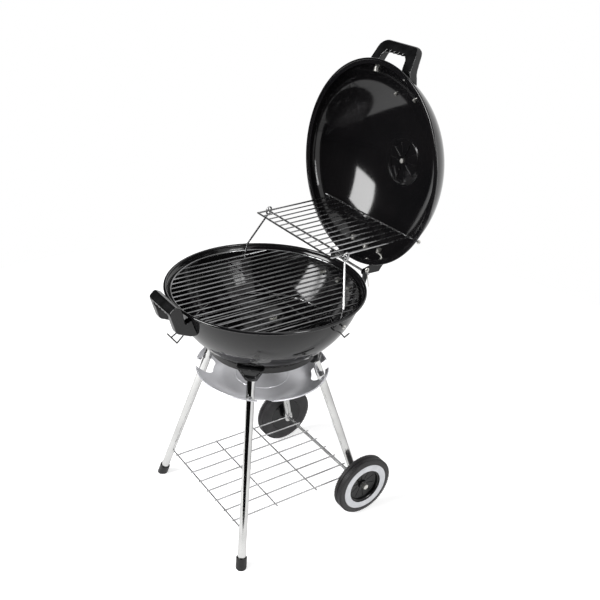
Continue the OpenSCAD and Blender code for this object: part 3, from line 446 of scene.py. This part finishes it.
def cut(piece, tool, operation="DIFFERENCE"):
    """Cuts a piece with another solid, which is used up."""
    modifier = piece.modifiers.new("cut", "BOOLEAN")
    modifier.operation = operation
    modifier.solver = "EXACT"
    modifier.object = tool
    settle(piece)
    bpy.data.objects.remove(tool)
    return piece


def soften(piece, voxel, passes):
    """Remeshes a moulded piece finely and smooths it, which rounds its edges."""
    remesh = piece.modifiers.new("remesh", "REMESH")
    remesh.mode = "VOXEL"
    remesh.voxel_size = voxel
    remesh.use_smooth_shade = True
    smooth = piece.modifiers.new("smooth", "SMOOTH")
    smooth.factor = 0.5
    smooth.iterations = passes
    return settle(piece)


def move(piece, matrix):
    """Moves a piece for good, so that its object stays at the origin."""
    pick(piece)
    piece.matrix_world = matrix @ piece.matrix_world
    bpy.ops.object.transform_apply(location=True, rotation=True, scale=True)
    return piece


def join(name, pieces):
    """Joins several objects into the first of them."""
    pick(*pieces)
    bpy.ops.object.join()
    pieces[0].name = name
    return pieces[0]


def ready(piece, body, slot, *replaced, angle=35):
    """Shades and paints a finished piece and gives it its place in the grill."""
    pick(piece)
    bpy.ops.object.shade_smooth_by_angle(angle=math.radians(angle))
    piece.data.materials.clear()
    piece.data.materials.append(finishes[slot])
    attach(piece, body)
    if replaced:
        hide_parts(*replaced)
    print(piece.name, len(piece.data.polygons), "faces")
    return piece


def arc(centre, radius, start, end, count):
    """Points of an arc in (radius, height), with angles in degrees."""
    return [
        (centre[0] + radius * math.cos(math.radians(start + (end - start) * i / count)),
         centre[1] + radius * math.sin(math.radians(start + (end - start) * i / count)))
        for i in range(count + 1)
    ]


# %% [markdown]
# ## The bowl
# The bowl is one sheet of enamelled steel: a flat seat for the damper, a round
# wall, a small step out, and a bead rolled round the rim. It is turned in one
# go, outside and inside together, and its vents are cut from the flat seat.

# %% Bowl outline
rim_r = (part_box("bowl")[1].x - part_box("bowl")[0].x) / 2
rim_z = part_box("bowl")[1].z
sheet, seat_r, bead, wall_steps = 0.0012, 0.053, 0.0035, 40
step_in, depth = 0.009, 0.169
neck_r, neck_z = rim_r - step_in, rim_z - step_in
ball = (neck_r**2 + depth**2) / (2 * depth)
ball_z = neck_z - depth + ball


def bowl_wall(skin):
    """The round wall from the seat up to the neck, at a depth under its outer face."""
    radius = ball - skin
    start = math.degrees(math.asin(seat_r / radius)) - 90
    end = math.degrees(math.acos(min((neck_r - skin) / radius, 1.0)))
    return arc((0.0, ball_z), radius, start, -end, wall_steps)


outer = bowl_wall(0)
seat_z = outer[0][1]
outer = [(0.0, seat_z), (seat_r * 0.5, seat_z), *outer]
rolled = arc((rim_r - bead, rim_z - bead), bead, -60, 215, 16)
inner = bowl_wall(sheet)[::-1]
inner += [(seat_r * 0.5, inner[-1][1]), (0.0, inner[-1][1])]
print("bowl rim", round(rim_r, 4), "at", round(rim_z, 4), "seat at", round(seat_z, 4))


# %% A set of vents
vent_count, vent_share, vent_in, vent_out = 5, 0.47, 0.013, 0.040
vent_span = math.radians(360 / vent_count * vent_share)
vent_middles = [math.radians(90 + 360 / vent_count * i) for i in range(vent_count)]


def vents(name, height):
    """Wedge-shaped cutters round the axis, the first one centred on +Y."""
    made = []
    low, high = height - 0.01, height + 0.01
    for middle in vent_middles:
        piece = filled_outline(
            name, [(vent_in, 0, low), (vent_out, 0, low), (vent_out, 0, high), (vent_in, 0, high)])
        bpy.ops.mesh.spin(steps=10, angle=-vent_span, center=(0, 0, 0), axis=(0, 0, 1))
        facing_out()
        made.append(move(piece, Matrix.Rotation(middle - vent_span / 2, 4, "Z")))
    return join(name, made)


# %% Rolled edges of the vents
def rolled_edges(height, wire):
    """Thin rolled lips along both sides of every vent, and one ring round the seat."""
    made = []
    middle_r = (vent_in + vent_out) / 2
    for middle in vent_middles:
        for side in (-0.5, 0.5):
            a = middle + side * vent_span
            fresh()
            bpy.ops.mesh.primitive_cylinder_add(
                vertices=12, radius=wire, depth=vent_out - vent_in,
                location=(middle_r * math.cos(a), middle_r * math.sin(a), height),
                rotation=(0, math.pi / 2, a))
            made.append(bpy.context.object)
    fresh()
    bpy.ops.mesh.primitive_torus_add(
        major_segments=96, minor_segments=10, major_radius=seat_r - 0.004, minor_radius=wire,
        location=(0, 0, height))
    made.append(bpy.context.object)
    for piece in made:
        move(piece, Matrix.Identity(4))
    return join("rolled_edges", made)


# %% Bowl
bowl = turned("bowl_shell", outer + rolled + inner)
cut(bowl, vents("bowl_vents", seat_z))
move(bowl, Matrix.Translation((0, axis_y, 0)))
ready(bowl, "stand_and_bowl", "black_enamel", "bowl", angle=40)

# %% [markdown]
# ## The lid
# The dome is flatter on top than a ball, so its outline is a superellipse. It is
# turned upright over the bowl, with its flange, rolled rim and pressed vent seat,
# and then swung open about the hinge rod by the angle at which it rests.

# %% Lid outline
hinge = joint_place["lid_hinge"]
lid_open = math.radians(93.78)
lid_r, lid_rise, lid_z = rim_r - 0.0095, 0.1095, rim_z + 0.0057
lid_bead, press = 0.0025, 0.0015
lid_bead_centre = (rim_r - 0.0005 - lid_bead, lid_z + 0.0003 - lid_bead)
out_power, up_power, dome_steps = 2.6, 1.6, 48


def dome(skin):
    """Points of the dome from the edge of the vent seat down to the flange."""
    first = math.asin((seat_r / lid_r) ** (out_power / 2))
    points = []
    for i in range(dome_steps + 1):
        a = first + (math.pi / 2 - first) * i / dome_steps
        points.append(((lid_r - skin) * math.sin(a) ** (2 / out_power),
                       lid_z + (lid_rise - skin) * max(math.cos(a), 0.0) ** (2 / up_power)))
    return points


top = dome(0.0)
lid_seat_z = top[0][1] - press
lid_outer = [(0.0, lid_seat_z), (seat_r - 0.004, lid_seat_z), (seat_r - 0.002, lid_seat_z), *top]
lid_rolled = [(lid_r + 0.002, lid_z), *arc(lid_bead_centre, lid_bead, 80, -195, 14)]
lid_inner = [(lid_r - 0.003, lid_z - sheet), *dome(sheet)[::-1]]
lid_inner += [(seat_r - 0.003, lid_seat_z - sheet), (0.0, lid_seat_z - sheet)]
print("lid radius", round(lid_r, 4), "vent seat at", round(lid_seat_z, 4))

# %% Lid
swing = (
    Matrix.Translation(hinge)
    @ Matrix.Rotation(-lid_open, 4, "X")
    @ Matrix.Translation(-hinge)
    @ Matrix.Translation((0, axis_y, 0))
)
lid = turned("lid_shell", lid_outer + lid_rolled + lid_inner)
cut(lid, vents("lid_vents", lid_seat_z))
lid = join("lid_shell", [lid, rolled_edges(lid_seat_z - sheet, 0.0007)])
move(lid, swing)
ready(lid, "lid", "black_enamel", "lid", angle=40)

# %% [markdown]
# ## The handles
# Each handle is moulded in one piece. It is cut from a plate by its outlines from
# above and from the side, the shell it sits on is cut away, and fingers get a
# scalloped grip. A fine remesh then rounds every edge, as the mould does.


# %% Corner easing
def eased(corners, radius, count=5):
    """The same outline with every corner rounded off."""
    points = []
    for i, corner in enumerate(corners):
        here = Vector(corner)
        before = Vector(corners[i - 1]) - here
        after = Vector(corners[(i + 1) % len(corners)]) - here
        first = here + before.normalized() * min(radius, before.length * 0.45)
        last = here + after.normalized() * min(radius, after.length * 0.45)
        for k in range(count + 1):
            t = k / count
            points.append(tuple(first * (1 - t) ** 2 + here * 2 * t * (1 - t) + last * t**2))
    return points


def scallop(radius, length, place, tilt):
    """A round cutter through a place, tilted about X."""
    fresh()
    bpy.ops.mesh.primitive_cylinder_add(
        vertices=32, radius=radius, depth=length, location=place,
        rotation=(math.radians(tilt), 0, 0))
    piece = bpy.context.object
    bpy.ops.object.transform_apply(location=True, rotation=True, scale=True)
    return piece


def ball_solid(name, radius, height):
    """A smooth ball on the kettle's axis."""
    fresh()
    bpy.ops.mesh.primitive_uv_sphere_add(
        segments=160, ring_count=96, radius=radius, location=(0, 0, height))
    piece = bpy.context.object
    piece.name = name
    bpy.ops.object.transform_apply(location=True, rotation=True, scale=True)
    return piece


# %% Lid handle
# The handle rises as it leaves the lid, and its arms spread towards the lid.
half, window_half = 0.056, 0.035
grip_y, hold_z = -(rim_r - 0.0005) - 0.031, lid_z + 0.030
grip_back, root_y, in_y = grip_y + 0.022, -0.205, -0.14
spread, climb = 0.22, 0.45


def risen(y, offset):
    """A point of the handle's side outline, on its rising line."""
    return (y, hold_z + offset + climb * max(root_y - y, 0.0))


out_half = half + spread * (in_y - grip_y)
in_half = window_half + spread * (in_y - grip_back)
from_above = eased(
    [(-half, grip_y), (half, grip_y), (out_half, in_y), (-out_half, in_y)], 0.016)
window = eased(
    [(-window_half, grip_back), (window_half, grip_back),
     (in_half, in_y + 0.01), (-in_half, in_y + 0.01)], 0.008)
lid_handle = plate("lid_handle", [(*p, hold_z - 0.03) for p in from_above], (0, 0, 0.08))
cut(lid_handle, plate("window", [(*p, hold_z - 0.04) for p in window], (0, 0, 0.1)))
side_outline = eased(
    [(in_y - 0.01, hold_z - 0.010), risen(root_y, -0.010), risen(grip_y + 0.009, -0.009),
     risen(grip_y, -0.003), risen(grip_y, 0.002), risen(grip_y + 0.010, 0.008),
     risen(root_y, 0.010), (in_y - 0.01, hold_z + 0.012)], 0.006)
cut(lid_handle, plate("profile", [(-0.1, y, z) for y, z in side_outline], (0.2, 0, 0)),
    "INTERSECT")
for i in range(-2, 3):
    y, z = risen(grip_back - 0.003, -0.011)
    cut(lid_handle, scallop(0.0045, 0.03, (i * 0.013, y, z), tilt=-58))
filled = [(0.0, lid_z - 0.01), (lid_r, lid_z - 0.01), *dome(-0.0001)[::-1]]
filled.append((0.0, filled[-1][1]))
cut(lid_handle, turned("dome_solid", filled))
soften(lid_handle, 0.001, 12)
move(lid_handle, swing)
ready(lid_handle, "lid", "black_plastic", "lid_handle")

# %% Bowl handle
low_z, high_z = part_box("bowl_handle")[0].z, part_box("bowl_handle")[1].z
front_y, mid_z = -rim_r - 0.035, low_z + 0.019
half, arm = 0.047, 0.018
profile = [(front_y + 0.065, mid_z - 0.019), (front_y + 0.048, mid_z - 0.019),
           (front_y + 0.015, mid_z - 0.004), (front_y, high_z - 0.012),
           (front_y + 0.013, high_z), (front_y + 0.028, high_z - 0.008),
           (front_y + 0.035, mid_z + 0.012), (front_y + 0.050, mid_z + 0.019),
           (front_y + 0.065, mid_z + 0.019)]
bowl_handle = plate(
    "bowl_handle", [(-half, y, z) for y, z in eased(profile, 0.005)], (2 * half, 0, 0))
opening = half - arm
between = [(-opening, front_y - 0.01), (opening, front_y - 0.01),
           (opening, -0.1), (-opening, -0.1)]
cut(bowl_handle, plate("opening", [(x, y, low_z - 0.05) for x, y in between],
                       (0, 0, rim_z - low_z + 0.05)))
for i in range(-2, 3):
    cut(bowl_handle, scallop(0.005, 0.06, (i * 0.014, front_y, rim_z - 0.002), tilt=-70))
cut(bowl_handle, ball_solid("bowl_ball", ball + 0.0001, ball_z))
soften(bowl_handle, 0.001, 12)
move(bowl_handle, Matrix.Translation((0, axis_y, 0)))
ready(bowl_handle, "stand_and_bowl", "black_plastic", "bowl_handle")

# %% [markdown]
# ## Leg sockets and foot caps
# These small mouldings hold the tops and the feet of the legs. Their solids have the
# right form with sharp edges, so a welded copy of each is remeshed finely and
# smoothed, which keeps the form and rounds the edges.


# %% Sockets and foot caps
def moulded(label, voxel, passes):
    """A moulded piece with rounded edges, in place of the sharp solid it starts from."""
    piece = bpy.data.objects.new(f"{label}_moulded", nodes[label].data.copy())
    piece.matrix_world = nodes[label].matrix_world
    bpy.context.scene.collection.objects.link(piece)
    weld = piece.modifiers.new("weld", "WELD")
    weld.merge_threshold = same_place
    soften(piece, voxel, passes)
    return ready(piece, "stand_and_bowl", "black_plastic", label)


for corner in ("front_left", "front_right", "rear_left", "rear_right"):
    moulded(f"leg_socket_{corner}", 0.0009, 8)
for word in ("left", "right"):
    moulded(f"foot_cap_{word}", 0.0008, 4)

# %% [markdown]
# ## The wheels
# A tyre is a turned ring with a groove round the middle and two rows of small
# blocks, set half a step apart. The white band stands a little proud and is crowned,
# and the hub is dished and slotted. All three are turned about Z, with the outer
# face of the wheel at the top, and then laid on their side at either end of the axle.

# %% Wheels
tyre_low, tyre_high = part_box("tyre_right")
wheel_r, wheel_w = (tyre_high.z - tyre_low.z) / 2, tyre_high.x - tyre_low.x
wheel_axis = Vector((0.0, (tyre_low.y + tyre_high.y) / 2, (tyre_low.z + tyre_high.z) / 2))
hub_r, band_r = 0.045, 0.0615
blocks, block_depth, block_sunk = 100, 0.0034, 0.0017


def tread_row(name, low, high, shift):
    """A row of blocks round a tyre, one made and the others arrayed about the axis."""
    fresh()
    width = 2 * math.pi * wheel_r / blocks * 0.5
    bpy.ops.mesh.primitive_cube_add(
        size=1, location=(wheel_r - block_sunk, 0, (low + high) / 2),
        scale=(block_depth, width, high - low))
    piece = bpy.context.object
    piece.name = name
    bpy.ops.object.transform_apply(location=True, rotation=True, scale=True)
    fresh()
    bpy.ops.object.empty_add(location=(0, 0, 0), rotation=(0, 0, 2 * math.pi / blocks))
    step = bpy.context.object
    rows = piece.modifiers.new("round", "ARRAY")
    rows.count = blocks
    rows.use_relative_offset = False
    rows.use_object_offset = True
    rows.offset_object = step
    settle(piece)
    bpy.data.objects.remove(step)
    return move(piece, Matrix.Rotation(shift * 2 * math.pi / blocks, 4, "Z"))


def tyre():
    """A tyre on its side, with its groove and its tread."""
    base, shoulder, middle, groove = wheel_r - 0.0026, 0.004, wheel_w / 2, 0.0012
    outline = [(hub_r, 0.001), (band_r, 0.0), (base - shoulder, 0.0008),
               (base - 0.0012, shoulder * 0.5), (base, shoulder), (base, middle - groove),
               (base - 0.002, middle - 0.001), (base - 0.002, middle + 0.001),
               (base, middle + groove), (base, wheel_w - shoulder),
               (base - 0.0012, wheel_w - shoulder * 0.5), (base - shoulder, wheel_w - 0.0008),
               (band_r + 0.0012, wheel_w), (band_r, wheel_w - 0.0016),
               (hub_r, wheel_w - 0.0016), (hub_r, 0.001)]
    ring = turned("tyre", outline)
    near = tread_row("near_blocks", 0.003, middle - groove, 0.0)
    away = tread_row("away_blocks", middle + groove, wheel_w - 0.003, 0.5)
    return join("tyre_body", [ring, near, away])


def band():
    """The crowned white band on the outer face of a tyre."""
    crown = [(hub_r + 0.0001, wheel_w - 0.0014), (hub_r + 0.0001, wheel_w - 0.0004)]
    crown += [(hub_r + (band_r - hub_r) * (0.04 + 0.92 * t / 12),
               wheel_w - 0.0002 + 0.0008 * math.sin(math.pi * t / 12)) for t in range(13)]
    crown += [(band_r - 0.0001, wheel_w - 0.0004), (band_r - 0.0001, wheel_w - 0.0014), crown[0]]
    return turned("band_body", crown)


def hub():
    """A dished hub with ten narrow slots from its boss towards its rim."""
    face, axle, slot_r = wheel_w - 0.003, 0.0041, 0.0263
    dish = turned("hub_body", [
        (axle, 0.001), (hub_r - 0.0006, 0.001), (hub_r - 0.0001, 0.0016),
        (hub_r - 0.0001, face - 0.001), (hub_r - 0.001, face), (hub_r - 0.0035, face),
        (hub_r - 0.0045, face - 0.001), (hub_r - 0.0052, face - 0.0085),
        (hub_r - 0.007, face - 0.0095), (0.013, face - 0.0115), (0.0115, face - 0.011),
        (0.0105, face - 0.0055), (0.0095, face - 0.005), (axle, face - 0.005), (axle, 0.001)])
    slots = []
    for i in range(10):
        fresh()
        a = math.radians(36 * i + 8)
        bpy.ops.mesh.primitive_cube_add(
            size=1, location=(slot_r * math.cos(a), slot_r * math.sin(a), face - 0.011),
            rotation=(0, 0, a), scale=(0.024, 0.0016, 0.012))
        slots.append(move(bpy.context.object, Matrix.Identity(4)))
    return cut(dish, join("slots", slots))


for side, word in ((1, "right"), (-1, "left")):
    inner_x = tyre_low.x if side == 1 else -tyre_low.x
    lay = (Matrix.Translation((inner_x, wheel_axis.y, wheel_axis.z))
           @ Matrix.Rotation(side * math.pi / 2, 4, "Y"))
    for maker, label, slot, stands_for, angle in (
            (tyre, "tyre_body", "tyre_black", "tyre", 25),
            (band, "band_body", "white_band", "white_band", 25),
            (hub, "hub_body", "black_plastic", "hub", 30)):
        piece = move(maker(), lay)
        piece.name = f"{label}_{word}"
        ready(piece, f"wheel_{word}", slot, f"{stands_for}_{word}", angle=angle)

# %% [markdown]
# ## The table and the dark room
# The grill stands on a plain pale table that keeps its shadow. To the camera the
# table glows just enough to be as white as the ground of the world, and in gloss it
# glows less. From inside the table's edge outwards, the front of the studio is dark,
# which only reflections see. It keeps the inside of the lid deep and draws the dark
# streaks down the chromed legs.


# %% Rays that see the ground
def ground_rays(tree, seen_by):
    """The sum of a value for each kind of ray named, and zero for all the others."""
    ray = tree.nodes.new("ShaderNodeLightPath")
    total = None
    for label, value in seen_by.items():
        part = tree.nodes.new("ShaderNodeMath")
        part.operation = "MULTIPLY_ADD"
        part.inputs[1].default_value = value
        part.inputs[2].default_value = 0.0
        tree.links.new(ray.outputs[label], part.inputs[0])
        if total:
            tree.links.new(total, part.inputs[2])
        total = part.outputs[0]
    return total


# %% Table
fresh()
bpy.ops.mesh.primitive_circle_add(vertices=96, radius=1.6, fill_type="NGON", location=(0, 0, 0))
floor = bpy.context.object
floor.name = "floor"
pale = bpy.data.materials.new("pale_floor")
pale.use_nodes = True
tree = pale.node_tree
paper = tree.nodes["Principled BSDF"]
paper.inputs["Base Color"].default_value = (0.85, 0.85, 0.85, 1.0)
paper.inputs["Roughness"].default_value = 0.9
paper.inputs["Specular IOR Level"].default_value = 0.0
paper.inputs["Emission Color"].default_value = white
glow = {"Is Camera Ray": 0.6, "Is Glossy Ray": 0.12, "Is Transmission Ray": 0.6}
tree.links.new(ground_rays(tree, glow), paper.inputs["Emission Strength"])
floor.data.materials.append(pale)

# %% Dark room
first, last = math.radians(-118), math.radians(76)
room_wall = turned(
    "dark_room", [(1.15, 0.004), (3.5, 0.004), (3.5, 3.4), (1.5, 4.6)], steps=48,
    angle=-(last - first))
move(room_wall, Matrix.Rotation(first - math.pi / 2, 4, "Z"))
room_wall.visible_camera = False
room_wall.visible_diffuse = False
room_wall.visible_transmission = False
room_wall.visible_shadow = False
black_cloth = bpy.data.materials.new("black_cloth")
black_cloth.use_nodes = True
cloth = black_cloth.node_tree.nodes["Principled BSDF"]
cloth.inputs["Base Color"].default_value = (0.002, 0.002, 0.002, 1.0)
cloth.inputs["Roughness"].default_value = 1.0
cloth.inputs["Specular IOR Level"].default_value = 0.0
room_wall.data.materials.append(black_cloth)
print("floor", tuple(floor.dimensions), "room", tuple(room_wall.dimensions))
